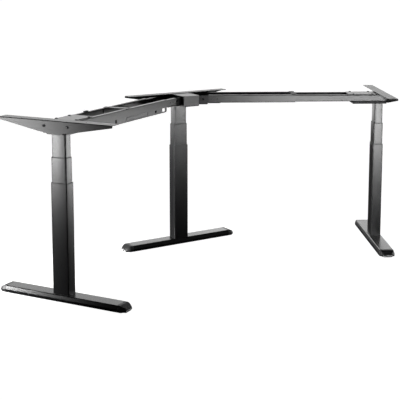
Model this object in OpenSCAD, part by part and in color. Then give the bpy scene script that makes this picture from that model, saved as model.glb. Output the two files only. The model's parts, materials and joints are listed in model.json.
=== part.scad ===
// Height adjustable corner desk frame: three telescopic columns joined by two arms that meet at 120 degrees.
// Millimetres, +Z up, the user sits on the -Y side. The origin is on the floor, in the middle of the outline.

/* [Frame] */
// Distance from the corner column to each end column
arm_len = 1050; // [900:10:1260]
// Angle between the two arms, in degrees
corner_angle = 120; // [116:1:124]
// Height of the desktop seat above the floor as drawn
frame_top = 808; // [780:1:1000]
// Thickness of the pressed sheet parts
sheet = 2.5; // [2:0.1:3]

/* [Columns] */
// Long side of the outer tube's section
tube_w = 84; // [72:1:100]
// Short side of the outer tube's section
tube_d = 54; // [52:1:64]
// Wall of all three tubes
tube_wall = 1.5; // [1.2:0.1:1.8]
// Corner radius of all three tubes
tube_r = 5; // [3:0.5:6]
// Amount by which each tube's section is smaller than the one around it
tube_step = 6; // [4.5:0.1:6.5]
// Length of the outer tube
outer_len = 496; // [480:1:620]
// Length of the middle tube
middle_len = 490; // [440:1:495]
// Length of the inner tube
inner_len = 482; // [440:1:486]
// Middle tube that shows above the outer tube as drawn
middle_out = 112; // [100:1:120]
// Height of the plastic rim on top of a tube
rim_h = 3; // [2:0.5:4]
// Length of a guide bush inside its tube
bush_len = 20; // [12:1:30]
// Gap between a guide bush and the tube that slides in it
slide_gap = 0.3; // [0.2:0.05:0.4]

/* [Feet] */
// Length of a foot over its end caps
foot_len = 670; // [560:10:800]
// Width of a foot
foot_w = 80; // [76:1:100]
// Width of the flat top of a foot
foot_top_w = 68; // [54:1:70]
// Height of the foot's tube
foot_h = 30; // [26:1:36]
// Share of that height up to which its sides stand upright
foot_side = 0.45; // [0.3:0.05:0.6]
// Wall of the foot's tube
foot_wall = 2; // [1.5:0.1:3]
// Length of a plastic end cap
cap_len = 40; // [30:1:50]
// Radius of a levelling glide
glide_r = 15; // [12:0.5:18]
// Height of a levelling glide's pad, screwed right in
glide_h = 6; // [5:0.5:10]
// Radius of a levelling glide's threaded stem
glide_stem_r = 4; // [3:0.5:5]

/* [Drive] */
// Radius of the screw that stands on the foot
fixed_screw_r = 7; // [6:0.5:8]
// Outer radius of the hollow screw that turns in the middle tube
screw_tube_r = 12; // [11:0.5:12.5]
// Outer radius of the tube that the motor turns
drive_tube_r = 16; // [15:0.5:16.5]
// Radial clearance of a nut on its screw
nut_gap = 0.05; // [0.02:0.01:0.08]
// Radius of the motor's can
motor_r = 21; // [16:1:22]
// Length of the motor's can
motor_len = 84; // [60:1:88]

/* [Heads] */
// Width of a motor tray
tray_w = 92; // [88:1:110]
// Depth of the end columns' trays below the desktop seat
tray_depth = 58; // [56:1:62]
// Reach of the end columns' trays towards the corner
tray_reach = 150; // [140:1:170]
// Reach of the corner column's tray towards the user
hub_reach = 130; // [125:1:150]
// Distance from a column's centre to the inner face of its desktop bracket
bracket_out = 38; // [36:0.5:42]

/* [Brackets] */
// Length of a desktop bracket
bracket_len = 590; // [500:10:640]
// Width of a desktop bracket's top flange
flange_w = 55; // [45:1:60]
// Height of a desktop bracket at its ends
bracket_tip_h = 11; // [8:1:16]
// Height of a desktop bracket beside the column
bracket_mid_h = 50; // [40:1:52]
// Distance that the end brackets sit behind their columns
bracket_setback = 9; // [0:1:20]
// Half the distance between the outer pair of desktop screw holes
seat_hole_far = 270; // [200:5:270]
// Half the distance between the inner pair of desktop screw holes
seat_hole_near = 150; // [80:5:160]
// Radius of the screw holes
hole_r = 3.25; // [3:0.05:3.5]

/* [Rails] */
// Height of the left arm's outer rails
left_rail_h = 62; // [50:1:66]
// Height of the right arm's outer rails
right_rail_h = 40; // [38:1:46]
// Distance from a motor tray's side to the outer face of the rails that are screwed to the end columns
rail_reach = 21; // [18:1:26]
// Gap between a rail and the rail that slides in it
rail_gap = 0.5; // [0.3:0.1:0.8]
// Distance from the corner column to the near end of the left outer rails
left_outer_start = 242; // [240:1:300]
// Distance from the corner column to the near end of the left inner rails
left_inner_start = 140; // [138:1:150]
// Distance from the corner column to the far end of the left inner rails
left_inner_end = 620; // [540:10:700]
// Distance from the corner column to the near end of the right outer rails
right_outer_start = 156; // [150:1:170]
// Distance from the corner column to the far end of the right outer rails
right_outer_end = 605; // [540:5:700]
// Distance from the corner column to the near end of the right inner rails
right_inner_start = 340; // [338:1:420]
// Width of the strap across the left rails and of the clip across the right rails
strap_w = 28; // [20:1:36]
// Distance from the corner column to the middle of the strap and of the clip
strap_at = 601; // [560:1:640]

/* [Screws] */
// Radius of a screw's head
head_r = 6; // [5:0.5:7]
// Height of a screw's head
head_h = 3.3; // [2:0.1:4]
// Radius of a screw's shank
shank_r = 3; // [2.5:0.1:3]

/* [Hidden] */
$fn = 48;
eps = 0.01;
RIGHT = 1;
LEFT = -1;
CORNER = 0;

// Heights
foot_z = glide_h;
foot_top = foot_z + foot_h;
outer_top = foot_top + outer_len;
middle_top = outer_top + middle_out;
middle_z = middle_top - middle_len;
tray_z = frame_top - tray_depth;
inner_z = tray_z - inner_len;
base_plate = 4;
carrier = 6;

// Tube sections: outer, middle, inner
middle_w = tube_w - tube_step;
middle_d = tube_d - tube_step;
inner_w = middle_w - tube_step;
inner_d = middle_d - tube_step;

// The desktop brackets lie on the top plates, which lie on the rails
flange_z = frame_top - sheet;
plate_z = flange_z - sheet;

// Rails of one arm nest in those of the same arm that hold them
leg_rail_y = tray_w / 2 + rail_reach;
left_inner_y = leg_rail_y - sheet - rail_gap;
left_inner_h = right_rail_h - sheet - rail_gap;
left_inner_top = plate_z - sheet - rail_gap;
right_outer_y = leg_rail_y + rail_gap + sheet;
right_inner_h = right_rail_h - 2 * (sheet + rail_gap);
right_inner_top = plate_z - sheet - rail_gap;
rail_lip = rail_reach - 3;
tab_w = 15;
tab_hole_y = leg_rail_y - 7;

// Screws of the top plates, and the row of windows and holes low in the left outer rails
plate_screws = [-40, -tray_reach + 12];
plate_screw_x = tray_w / 2 + 6;
low_row_z = plate_z - left_rail_h + 16;
clamp_s = 352;
window_size = [28, 18];
plug_size = [15, 17];
panel_size = [194, 18];
panel_depth = 1;

// Brackets and their screws, in a column's frame
bracket_tab = 40;
flange_cut = 6;
bracket_screw_z = frame_top - 24;
function setback(side) = side == CORNER ? 0 : bracket_setback;
function bracket_hole_x(side) = side == CORNER ? 30 : tab_hole_y;

// Link plates of the hub, in an arm's frame. Each starts at the tray's wall or at the bracket.
link_floor_start = 20;
link_end = 215;
link_screws = [172, 200];
link_bolt_s = 127;
link_screw_z = plate_z - right_rail_h / 2;
link_low = plate_z - right_rail_h + sheet;
link_deep = plate_z - right_rail_h - 8;
link_top = plate_z - 3;
link_high = left_inner_top - sheet;
left_link_y = left_inner_y - sheet;
right_link_y = right_outer_y - sheet;
function front_start(face) = (tray_w / 2 - face * sin(arm_dir)) / cos(arm_dir) - sheet;
function rear_start(face) = (bracket_out - face * cos(arm_dir)) / sin(arm_dir) - 2 * sheet;

// Height of the top of the tray's walls at each column
function head_top(side) = side == RIGHT ? right_inner_top : plate_z;
function reach(side) = side == CORNER ? hub_reach : tray_reach;

// Drive inside each column
fixed_screw_len = 440;
screw_tube_len = 450;
drive_tube_len = 432;
nut_h = 18;
collar_h = 6;
screw_bore = fixed_screw_r + 0.6;
drive_bore = screw_tube_r + 0.5;
gearbox_w = 60;
gearbox_d = 64;
gearbox_h = 44;

// Feet
cap_mid = cap_len * 0.6;
cap_plug = 12;
cap_skirt = 5;
cap_clear = 1;
glide_x = foot_len / 2 - cap_len - 22;
stem_top = foot_z + 16;

// Places of the columns. The right arm's direction is arm_dir; the left arm mirrors it.
arm_dir = corner_angle / 2 - 90;
end_x = arm_len * cos(arm_dir);
drop = -arm_len * sin(arm_dir);
foot_dir = arm_dir - 90;
foot_half = [for (p = foot_plan(foot_len / 2)) abs(p.x * sin(foot_dir)) + abs(p.y * cos(foot_dir))];
front_reach = drop + max(foot_half);
rear_reach = bracket_out + sheet + head_h;
corner_y = (front_reach - rear_reach) / 2;
end_y = corner_y - drop;

// Frames ------------------------------------------------------------------------------------------

// Moves a column's pieces to its place. In a column's own frame the foot runs along X, the motor tray
// reaches towards -Y and the desktop bracket is on the +Y side.
module at_column(side) {
    if (side == CORNER) translate([0, corner_y, 0]) children();
    if (side == RIGHT) translate([end_x, end_y, 0]) rotate(foot_dir) children();
    if (side == LEFT) mirror([1, 0, 0]) translate([end_x, end_y, 0]) rotate(foot_dir) children();
}

// Moves an arm's pieces to its place. In an arm's own frame X runs from the corner column to the end
// column and -Y is the user's side.
module at_arm(side) {
    if (side == RIGHT) translate([0, corner_y, 0]) rotate(arm_dir) children();
    if (side == LEFT) mirror([1, 0, 0]) translate([0, corner_y, 0]) rotate(arm_dir) children();
}

// Draws its children and their mirror image across the XZ plane
module both_sides() {
    children();
    mirror([0, 1, 0]) children();
}

// Draws its children and their mirror image across the YZ plane
module both_ends() {
    children();
    mirror([1, 0, 0]) children();
}

// Shared shapes -----------------------------------------------------------------------------------

// Rectangle with rounded corners
module rounded_rect(w, d, r) {
    square([w - 2 * r, d], center = true);
    square([w, d - 2 * r], center = true);
    for (x = [-1, 1], y = [-1, 1]) translate([x * (w / 2 - r), y * (d / 2 - r)]) circle(r);
}

// Tube of rounded rectangular section
module box_tube(w, d, r, wall, h) {
    linear_extrude(h) difference() {
        rounded_rect(w, d, r);
        rounded_rect(w - 2 * wall, d - 2 * wall, r - wall);
    }
}

// Screw along +Z with its head at z = 0 and up, and a hexagon socket in the head
module screw(shank_len, height = head_h) {
    difference() {
        union() {
            cylinder(h = height, r = head_r);
            translate([0, 0, -shank_len]) cylinder(h = shank_len + eps, r = shank_r);
        }
        translate([0, 0, height / 2]) cylinder(h = height, r = head_r / 2.4, $fn = 6);
    }
}

// Feet --------------------------------------------------------------------------------------------

// Half of a foot's plan at its far end, for the outline of the whole object
function foot_plan(end) = [
    [end, cap_nose_w() / 2],
    [end - cap_len + cap_mid, cap_mid_w() / 2],
    [end - cap_len, foot_w / 2]
];
function cap_mid_w() = foot_w - 4;
function cap_nose_w() = foot_w * 0.7;

// Section of a foot, set in by a wall
module foot_section(inset) {
    low = foot_z + inset;
    high = foot_top - inset;
    shoulder = foot_z + foot_h * foot_side - inset * 0.3;
    half = foot_w / 2 - inset;
    half_top = foot_top_w / 2 - inset * 0.55;
    polygon([[-half, low], [half, low], [half, shoulder], [half_top, high], [-half_top, high],
             [-half, shoulder]]);
}

// Extrudes a section drawn in Y and Z along +X
module along_x(length) {
    rotate([90, 0, 90]) linear_extrude(length) children();
}

// Pressed steel foot: a closed tube with a bevelled top, drilled below for the glides
module foot() {
    color("#1c1c1e") difference() {
        translate([cap_len - foot_len / 2, 0, 0]) along_x(foot_len - 2 * cap_len) difference() {
            foot_section(0);
            foot_section(foot_wall);
        }
        both_ends() translate([glide_x, 0, foot_z - 1])
            cylinder(h = foot_wall + 2, r = glide_stem_r + nut_gap);
    }
}

// Slice of an end cap
module cap_slice(x, w, low, high) {
    bevel = (high - low) * 0.45;
    translate([x, 0, 0]) along_x(0.5)
        polygon([[-w / 2, low], [w / 2, low], [w / 2, high - bevel], [w / 2 - bevel * 0.8, high],
                 [-w / 2 + bevel * 0.8, high], [-w / 2, high - bevel]]);
}

// Plastic end caps that taper to a blunt nose, plug into the foot and have a skirt near the floor
module foot_caps() {
    start = foot_len / 2 - cap_len;
    color("#2a2a2c") both_ends() {
        hull() {
            translate([start, 0, 0]) along_x(0.5) foot_section(0);
            cap_slice(start + cap_mid, cap_mid_w(), foot_z, foot_top - 2);
        }
        hull() {
            cap_slice(start + cap_mid, cap_mid_w(), foot_z, foot_top - 2);
            cap_slice(start + cap_len - 0.5, cap_nose_w(), foot_z + 3, foot_top - 10);
        }
        translate([start - cap_plug, 0, 0]) along_x(cap_plug + 0.25) foot_section(foot_wall + 0.2);
        hull() {
            cap_slice(start + 3, cap_mid_w() - 8, foot_z, foot_z + cap_skirt);
            cap_slice(start + cap_mid, cap_mid_w() - 12, cap_clear, foot_z + cap_skirt);
            cap_slice(start + cap_len - 5, cap_nose_w() - 8, cap_clear, foot_z + cap_skirt);
        }
    }
}

// Levelling glide: a round pad on a threaded stem
module glide(end) {
    color("#303032") translate([end * glide_x, 0, 0]) {
        cylinder(h = 2, r1 = glide_r - 2, r2 = glide_r);
        translate([0, 0, 2]) cylinder(h = glide_h - 2.2, r = glide_r);
        cylinder(h = stem_top, r = glide_stem_r);
    }
}

// Columns -----------------------------------------------------------------------------------------

// Outer tube with the base plate that is welded into its foot end
module outer_tube() {
    color("#222224") translate([0, 0, foot_top]) {
        box_tube(tube_w, tube_d, tube_r, tube_wall, outer_len);
        linear_extrude(base_plate)
            rounded_rect(tube_w - tube_wall, tube_d - tube_wall, tube_r - tube_wall / 2);
    }
}

// Middle tube with the carrier plate, at its lower end, that the hollow screw turns in
module middle_tube() {
    color("#2c2c2e") translate([0, 0, middle_z]) {
        box_tube(middle_w, middle_d, tube_r, tube_wall, middle_len);
        difference() {
            linear_extrude(carrier)
                rounded_rect(middle_w - tube_wall, middle_d - tube_wall, tube_r - tube_wall / 2);
            translate([0, 0, -1]) cylinder(h = carrier + 2, r = screw_tube_r + nut_gap);
        }
    }
}

// Inner tube, which the motor tray stands on
module inner_tube() {
    color("#37373a") translate([0, 0, inner_z]) box_tube(inner_w, inner_d, tube_r, tube_wall, inner_len);
}

// Guide bush of the outer tube
module lower_bush() {
    guide_bush(tube_w, tube_d, outer_top);
}

// Guide bush of the middle tube
module upper_bush() {
    guide_bush(middle_w, middle_d, middle_top);
}

// Guide bush in the top of a tube: a sleeve, and a rim that shows above the tube
module guide_bush(w, d, top) {
    inner_w = w - tube_step + 2 * slide_gap;
    inner_d = d - tube_step + 2 * slide_gap;
    color("#141415") difference() {
        union() {
            translate([0, 0, top - bush_len]) linear_extrude(bush_len + eps)
                rounded_rect(w - 2 * tube_wall, d - 2 * tube_wall, tube_r - tube_wall);
            translate([0, 0, top]) linear_extrude(rim_h) rounded_rect(w - 1, d - 1, tube_r - 0.5);
        }
        translate([0, 0, top - bush_len - 1]) linear_extrude(bush_len + rim_h + 2)
            rounded_rect(inner_w, inner_d, tube_r);
    }
}

// Drive -------------------------------------------------------------------------------------------

// Screw that stands on the base plate and doesn't turn
module fixed_screw() {
    color("#9a9a9e") translate([0, 0, foot_top + base_plate]) {
        cylinder(h = fixed_screw_len, r = fixed_screw_r);
        cylinder(h = collar_h, r = fixed_screw_r * 2);
    }
}

// Hollow screw that turns in the carrier plate: its lower end is the nut of the fixed screw
module screw_tube() {
    low = middle_z - 4;
    grip = 25;
    color("#a8a8ac") difference() {
        union() {
            translate([0, 0, low]) cylinder(h = screw_tube_len, r = screw_tube_r);
            translate([0, 0, middle_z + carrier + 0.3]) cylinder(h = collar_h, r = screw_tube_r + 4);
        }
        translate([0, 0, low - 1]) cylinder(h = grip + 2, r = fixed_screw_r + nut_gap);
        translate([0, 0, low + grip]) cylinder(h = screw_tube_len, r = screw_bore);
    }
}

// Nut block in the lower end of the inner tube, on the hollow screw
module lift_nut() {
    color("#d8d4c8") difference() {
        translate([0, 0, inner_z]) linear_extrude(nut_h)
            rounded_rect(inner_w - 2 * tube_wall, inner_d - 2 * tube_wall, tube_r - tube_wall);
        translate([0, 0, inner_z - 1]) cylinder(h = nut_h + 2, r = screw_tube_r + nut_gap);
    }
}

// Tube that the gear motor turns, keyed over the hollow screw
module drive_tube() {
    top = tray_z + sheet - 0.3;
    color("#8c8c90") difference() {
        translate([0, 0, top - drive_tube_len]) cylinder(h = drive_tube_len, r = drive_tube_r);
        translate([0, 0, top - drive_tube_len - 1]) cylinder(h = drive_tube_len - 3, r = drive_bore);
    }
}

// Gearbox over the column with the motor's can lying in the tray
module gear_motor(side) {
    z = tray_z + sheet;
    height = min(gearbox_h, head_top(side) - z);
    color("#4a4a4e") {
        translate([-gearbox_w / 2, -gearbox_d / 2, z]) cube([gearbox_w, gearbox_d, height]);
        translate([0, -gearbox_d / 2 + eps, z + motor_r + 1]) rotate([90, 0, 0])
            cylinder(h = motor_len, r = motor_r);
    }
}

// Heads -------------------------------------------------------------------------------------------

// Side view of a tray, in Y and Z, set in by a wall; its far lower edge is bevelled
module tray_side(side, inset) {
    far = -reach(side) + inset;
    near = bracket_out - inset;
    bevel = side == CORNER ? 2 : 12;
    low = tray_z + inset;
    polygon([[near, low], [far + bevel, low], [far, low + bevel], [far, frame_top], [near, frame_top]]);
}

// Pressed tray that holds the gear motor, welded to the top of the inner tube
module motor_tray(side) {
    difference() {
        translate([-tray_w / 2, 0, 0]) along_x(tray_w) tray_side(side, 0);
        translate([sheet - tray_w / 2, 0, 0]) along_x(tray_w - 2 * sheet) tray_side(side, sheet);
        translate([-tray_w, -2 * tray_reach, head_top(side)])
            cube([2 * tray_w, 4 * tray_reach, 2 * tray_depth]);
        translate([0, 0, tray_z - 1]) cylinder(h = sheet + 2, r = drive_tube_r + 1);
    }
}

module head_tray(side) {
    color("#2a2a2c") motor_tray(side);
}

// One link plate of the hub, on the +Y side of an arm: deep beside the tray, and shallow beyond the step so
// that the rails go round it
module link_plate(start, face, step_at) {
    translate([0, face, 0]) rotate([90, 0, 0]) linear_extrude(sheet) difference() {
        union() {
            translate([start, link_deep]) square([step_at - start, link_top - link_deep]);
            translate([start, link_low]) square([link_end - start, link_high - link_low]);
        }
        for (s = link_screws) translate([s, link_screw_z]) circle(hole_r);
        translate([link_bolt_s, link_screw_z]) circle(hole_r);
    }
}

// Floor of the hub under one arm's link plates
module link_floor(face) {
    translate([link_floor_start, -face, plate_z - right_rail_h - sheet])
        cube([link_end - link_floor_start, 2 * face, sheet]);
}

// Corner tray with side windows, and the link plates and floors that carry the two arms
module hub_tray() {
    window = [tray_w * 2, 68, 30];
    color("#2e2e30") {
        at_column(CORNER) difference() {
            motor_tray(CORNER);
            translate([-tray_w, -hub_reach + 12, tray_z + 14]) cube(window);
            bracket_holes(CORNER);
        }
        difference() {
            for (side = [LEFT, RIGHT]) at_arm(side) {
                face = side == LEFT ? left_link_y : right_link_y;
                rail_start = side == LEFT ? left_inner_start : right_outer_start;
                link_floor(face);
                link_plate(rear_start(face), face, rail_start - 6);
                mirror([0, 1, 0]) link_plate(front_start(face), face, rail_start - 6);
            }
            at_column(CORNER) translate([sheet - tray_w / 2, sheet - hub_reach, 0])
                cube([tray_w - 2 * sheet, hub_reach + bracket_out - 2 * sheet, frame_top]);
            at_column(CORNER) translate([-tray_w, bracket_out, 0]) cube([2 * tray_w, tray_w, frame_top]);
        }
    }
}

// Plate over a motor tray
module top_plate(side) {
    half = tray_w / 2 + (side == CORNER ? 2 : 10);
    far = side == CORNER ? hub_reach : tray_reach + 15;
    cut = 8;
    color("#b4b4b6") translate([0, 0, head_top(side)]) linear_extrude(sheet) difference() {
        polygon([[-half, cut - far], [cut - half, -far], [half - cut, -far], [half, cut - far],
                 [half, bracket_out], [-half, bracket_out]]);
        if (side != CORNER) for (x = [-1, 1], y = plate_screws)
            translate([x * plate_screw_x, y]) circle(hole_r);
    }
}

// Brackets ----------------------------------------------------------------------------------------

// Outline of a bracket's upright plate: low at both ends, deepest beside the column
module bracket_side() {
    half = bracket_len / 2;
    low = frame_top - bracket_mid_h;
    polygon([[-half, frame_top], [-half, frame_top - bracket_tip_h], [-2 * bracket_tab, low],
             [-bracket_tab - flange_cut, low - 3], [flange_cut - bracket_tab, tray_z - 2],
             [bracket_tab - flange_cut, tray_z - 2], [bracket_tab + flange_cut, low - 3],
             [2 * bracket_tab, low], [half, frame_top - bracket_tip_h], [half, frame_top]]);
}

// Outline of a bracket's flange, with its free corners cut off and its desktop holes
module bracket_top() {
    half = bracket_len / 2;
    back = bracket_out + sheet;
    tip = back - flange_w;
    difference() {
        polygon([[-half, back], [half, back], [half, tip + flange_cut], [half - flange_cut, tip],
                 [flange_cut - half, tip], [-half, tip + flange_cut]]);
        for (x = [-1, 1], far = [seat_hole_far, seat_hole_near])
            translate([x * far, back - flange_w / 2]) circle(hole_r);
    }
}

// Desktop bracket: a tapered upright plate with a flange along its top
module bracket(side) {
    color("#6a6a6c") {
        difference() {
            translate([-setback(side), bracket_out + sheet, 0]) rotate([90, 0, 0])
                linear_extrude(sheet) bracket_side();
            bracket_holes(side);
        }
        translate([-setback(side), 0, flange_z]) linear_extrude(sheet) bracket_top();
    }
}

// Cutters for the holes of a bracket's two screws, in the column's frame
module bracket_holes(side) {
    for (x = [-1, 1]) translate([x * bracket_hole_x(side), bracket_out, bracket_screw_z])
        rotate([90, 0, 0]) cylinder(h = 4 * sheet, r = hole_r, center = true);
}

// Rails -------------------------------------------------------------------------------------------

// One C-section rail on the +Y side of its arm: y is the web's outer face, top the upper flange's top
module c_rail(start, end, y, height, top) {
    translate([start, 0, 0]) along_x(end - start)
        polygon([[y, top], [y, top - height], [y - rail_lip, top - height],
                 [y - rail_lip, top - height + sheet], [y - sheet, top - height + sheet],
                 [y - sheet, top - sheet], [y - rail_lip, top - sheet], [y - rail_lip, top]]);
}

// Tab at the end of a rail that the desktop bracket is screwed to
module end_tab(top, height) {
    translate([arm_len + bracket_out - sheet, leg_rail_y - tab_w, top - height]) cube([sheet, tab_w, height]);
}

// Holes through the end tabs for the bracket screws
module tab_holes() {
    for (y = [-1, 1]) translate([arm_len + bracket_out, y * tab_hole_y, bracket_screw_z])
        rotate([0, 90, 0]) cylinder(h = 4 * sheet, r = hole_r, center = true);
}

// Holes through the upper flanges for the top plate's screws
module flange_holes() {
    for (y = [-1, 1], s = plate_screws)
        translate([arm_len + s, y * plate_screw_x, frame_top - tray_depth / 2])
            cylinder(h = tray_depth, r = hole_r);
}

// Holes through the webs for the screws of the link plates
module link_holes() {
    for (s = link_screws) translate([s, 0, link_screw_z])
        rotate([90, 0, 0]) cylinder(h = 4 * leg_rail_y, r = hole_r, center = true);
}

// Left outer rails: screwed to the end column, where they are no deeper than the tray. The front one has a
// cable window and a long pressed panel.
module left_outer_rails() {
    color("#303032") at_arm(LEFT) difference() {
        both_sides() {
            c_rail(left_outer_start, arm_len + bracket_out, leg_rail_y, left_rail_h, plate_z);
            end_tab(plate_z, left_rail_h);
        }
        tab_holes();
        flange_holes();
        front_cut(left_outer_start + 18, window_size, sheet);
        front_cut(706, plug_size, sheet);
        front_cut(428, panel_size, panel_depth);
        translate([802, -leg_rail_y, low_row_z])
            rotate([90, 0, 0]) cylinder(h = 4 * sheet, r = 4.5, center = true);
        both_sides() translate([clamp_s, leg_rail_y, low_row_z])
            rotate([90, 0, 0]) cylinder(h = 4 * sheet, r = hole_r, center = true);
        both_sides() translate([left_outer_start, leg_rail_y, plate_z - left_rail_h])
            rotate([90, 45, 0]) cube([12, 12, 4 * rail_lip], center = true);
        translate([arm_len - 100, leg_rail_y + 1, 0]) rotate([90, 0, 0])
            linear_extrude(2 * leg_rail_y + 2) polygon([[0, 0], [0, plate_z - left_rail_h], [40, tray_z + 2],
                [2 * tray_reach, tray_z + 2], [2 * tray_reach, 0]]);
    }
}

// Cutter that starts at s and goes a given depth into the left arm's front web
module front_cut(s, size, depth) {
    translate([s, -leg_rail_y - 1, low_row_z - size.y / 2]) cube([size.x, depth + 1, size.y]);
}

// Left inner rails: screwed to the hub, sliding in the left outer rails
module left_inner_rails() {
    color("#262628") at_arm(LEFT) difference() {
        both_sides() c_rail(left_inner_start, left_inner_end, left_inner_y, left_inner_h, left_inner_top);
        link_holes();
    }
}

// Right outer rails: screwed to the hub
module right_outer_rails() {
    color("#303032") at_arm(RIGHT) difference() {
        both_sides() c_rail(right_outer_start, right_outer_end, right_outer_y, right_rail_h, plate_z);
        link_holes();
        translate([right_outer_end - 30, right_outer_y, link_screw_z])
            rotate([90, 0, 0]) cylinder(h = 4 * sheet, r = hole_r, center = true);
    }
}

// Right inner rails: screwed to the end column, sliding in the right outer rails
module right_inner_rails() {
    color("#38383a") at_arm(RIGHT) difference() {
        both_sides() {
            c_rail(right_inner_start, arm_len + bracket_out, leg_rail_y, right_inner_h, right_inner_top);
            end_tab(right_inner_top, right_inner_h);
        }
        tab_holes();
        flange_holes();
    }
}

// Flat strap across the left outer rails
module left_cross_strap() {
    color("#b4b4b6") at_arm(LEFT)
        translate([strap_at - strap_w / 2, -leg_rail_y, plate_z]) cube([strap_w, 2 * leg_rail_y, sheet]);
}

// Ribbed clip across the end of the right outer rails
module right_rail_clip() {
    ribs = 6;
    pitch = 2 * right_outer_y / ribs;
    color("#9c9c9e") at_arm(RIGHT) difference() {
        translate([strap_at - strap_w / 2, -right_outer_y, plate_z])
            cube([strap_w, 2 * right_outer_y, sheet]);
        for (i = [0:ribs - 1])
            translate([strap_at - strap_w / 2 + 4, (i + 0.3) * pitch - right_outer_y, plate_z + 1])
                cube([strap_w - 8, pitch * 0.4, sheet]);
    }
}

// Screws ------------------------------------------------------------------------------------------

// Screws that hold a desktop bracket, in the column's frame
module bracket_screws(side) {
    for (x = [-1, 1]) translate([x * bracket_hole_x(side), bracket_out + sheet, bracket_screw_z])
        rotate([-90, 0, 0]) screw(2 * sheet + 2);
}

// Screws that hold an end column's top plate to the rails, in the column's frame
module plate_screw_set(side) {
    for (x = [-1, 1], y = plate_screws)
        translate([x * plate_screw_x, y, head_top(side) + sheet]) screw(8, sheet - 0.2);
}

// Screws of the hub: corner bracket, link plates, and the clamp screw of the right outer rails
module hub_screws() {
    color("#8e8e92") {
        at_column(CORNER) bracket_screws(CORNER);
        for (side = [LEFT, RIGHT]) at_arm(side) {
            face = side == LEFT ? left_link_y : right_link_y;
            both_sides() for (s = link_screws) translate([s, face - sheet, link_screw_z])
                rotate([90, 0, 0]) screw(2 * sheet - 0.2);
            translate([link_bolt_s, -face, link_screw_z]) rotate([90, 0, 0]) screw(7, sheet);
        }
        at_arm(RIGHT) translate([right_outer_end - 30, right_outer_y, link_screw_z])
            rotate([-90, 0, 0]) screw(sheet);
    }
}

// Screws of the left end column's head: bracket, top plate and the clamp screws of the outer rails
module left_screws() {
    color("#8e8e92") {
        at_column(LEFT) bracket_screws(LEFT);
        at_column(LEFT) plate_screw_set(LEFT);
        at_arm(LEFT) both_sides() translate([clamp_s, leg_rail_y, low_row_z]) rotate([-90, 0, 0]) screw(6);
    }
}

// Screws of the right end column's head: bracket and top plate
module right_screws() {
    color("#8e8e92") at_column(RIGHT) {
        bracket_screws(RIGHT);
        plate_screw_set(RIGHT);
    }
}

// Corner column
at_column(CORNER) foot();  // corner_foot
at_column(CORNER) foot_caps();  // corner_foot_caps
at_column(CORNER) glide(-1);  // corner_glide_left
at_column(CORNER) glide(1);  // corner_glide_right
at_column(CORNER) outer_tube();  // corner_outer_tube
at_column(CORNER) lower_bush();  // corner_lower_bush
at_column(CORNER) fixed_screw();  // corner_fixed_screw
at_column(CORNER) middle_tube();  // corner_middle_tube
at_column(CORNER) upper_bush();  // corner_upper_bush
at_column(CORNER) screw_tube();  // corner_screw_tube
at_column(CORNER) inner_tube();  // corner_inner_tube
at_column(CORNER) lift_nut();  // corner_lift_nut
at_column(CORNER) drive_tube();  // corner_drive_tube
at_column(CORNER) gear_motor(CORNER);  // corner_gear_motor
hub_tray();  // corner_hub_tray
at_column(CORNER) top_plate(CORNER);  // corner_top_plate
at_column(CORNER) bracket(CORNER);  // corner_bracket

// Left end column
at_column(LEFT) foot();  // left_foot
at_column(LEFT) foot_caps();  // left_foot_caps
at_column(LEFT) glide(1);  // left_glide_front
at_column(LEFT) glide(-1);  // left_glide_rear
at_column(LEFT) outer_tube();  // left_outer_tube
at_column(LEFT) lower_bush();  // left_lower_bush
at_column(LEFT) fixed_screw();  // left_fixed_screw
at_column(LEFT) middle_tube();  // left_middle_tube
at_column(LEFT) upper_bush();  // left_upper_bush
at_column(LEFT) screw_tube();  // left_screw_tube
at_column(LEFT) inner_tube();  // left_inner_tube
at_column(LEFT) lift_nut();  // left_lift_nut
at_column(LEFT) drive_tube();  // left_drive_tube
at_column(LEFT) gear_motor(LEFT);  // left_gear_motor
at_column(LEFT) head_tray(LEFT);  // left_head_tray
at_column(LEFT) top_plate(LEFT);  // left_top_plate
at_column(LEFT) bracket(LEFT);  // left_bracket

// Right end column
at_column(RIGHT) foot();  // right_foot
at_column(RIGHT) foot_caps();  // right_foot_caps
at_column(RIGHT) glide(1);  // right_glide_front
at_column(RIGHT) glide(-1);  // right_glide_rear
at_column(RIGHT) outer_tube();  // right_outer_tube
at_column(RIGHT) lower_bush();  // right_lower_bush
at_column(RIGHT) fixed_screw();  // right_fixed_screw
at_column(RIGHT) middle_tube();  // right_middle_tube
at_column(RIGHT) upper_bush();  // right_upper_bush
at_column(RIGHT) screw_tube();  // right_screw_tube
at_column(RIGHT) inner_tube();  // right_inner_tube
at_column(RIGHT) lift_nut();  // right_lift_nut
at_column(RIGHT) drive_tube();  // right_drive_tube
at_column(RIGHT) gear_motor(RIGHT);  // right_gear_motor
at_column(RIGHT) head_tray(RIGHT);  // right_head_tray
at_column(RIGHT) top_plate(RIGHT);  // right_top_plate
at_column(RIGHT) bracket(RIGHT);  // right_bracket

// Arms and fasteners
left_outer_rails();
left_inner_rails();
right_outer_rails();
right_inner_rails();
left_cross_strap();
right_rail_clip();
hub_screws();
left_screws();
right_screws();
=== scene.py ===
"""Looks of a height adjustable corner desk frame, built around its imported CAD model.

Lengths inside the classes are millimetres in a column's or an arm's own frame; a Place turns them into the
metres of the model. In a column's frame the foot runs along x and the desktop bracket is on the +y side. In
an arm's frame x runs from the corner column to the end column, and the user's side is -y.
"""

import json
import logging
import math
from dataclasses import dataclass, field
from enum import Enum
from typing import Callable, Iterable, Sequence

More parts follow.
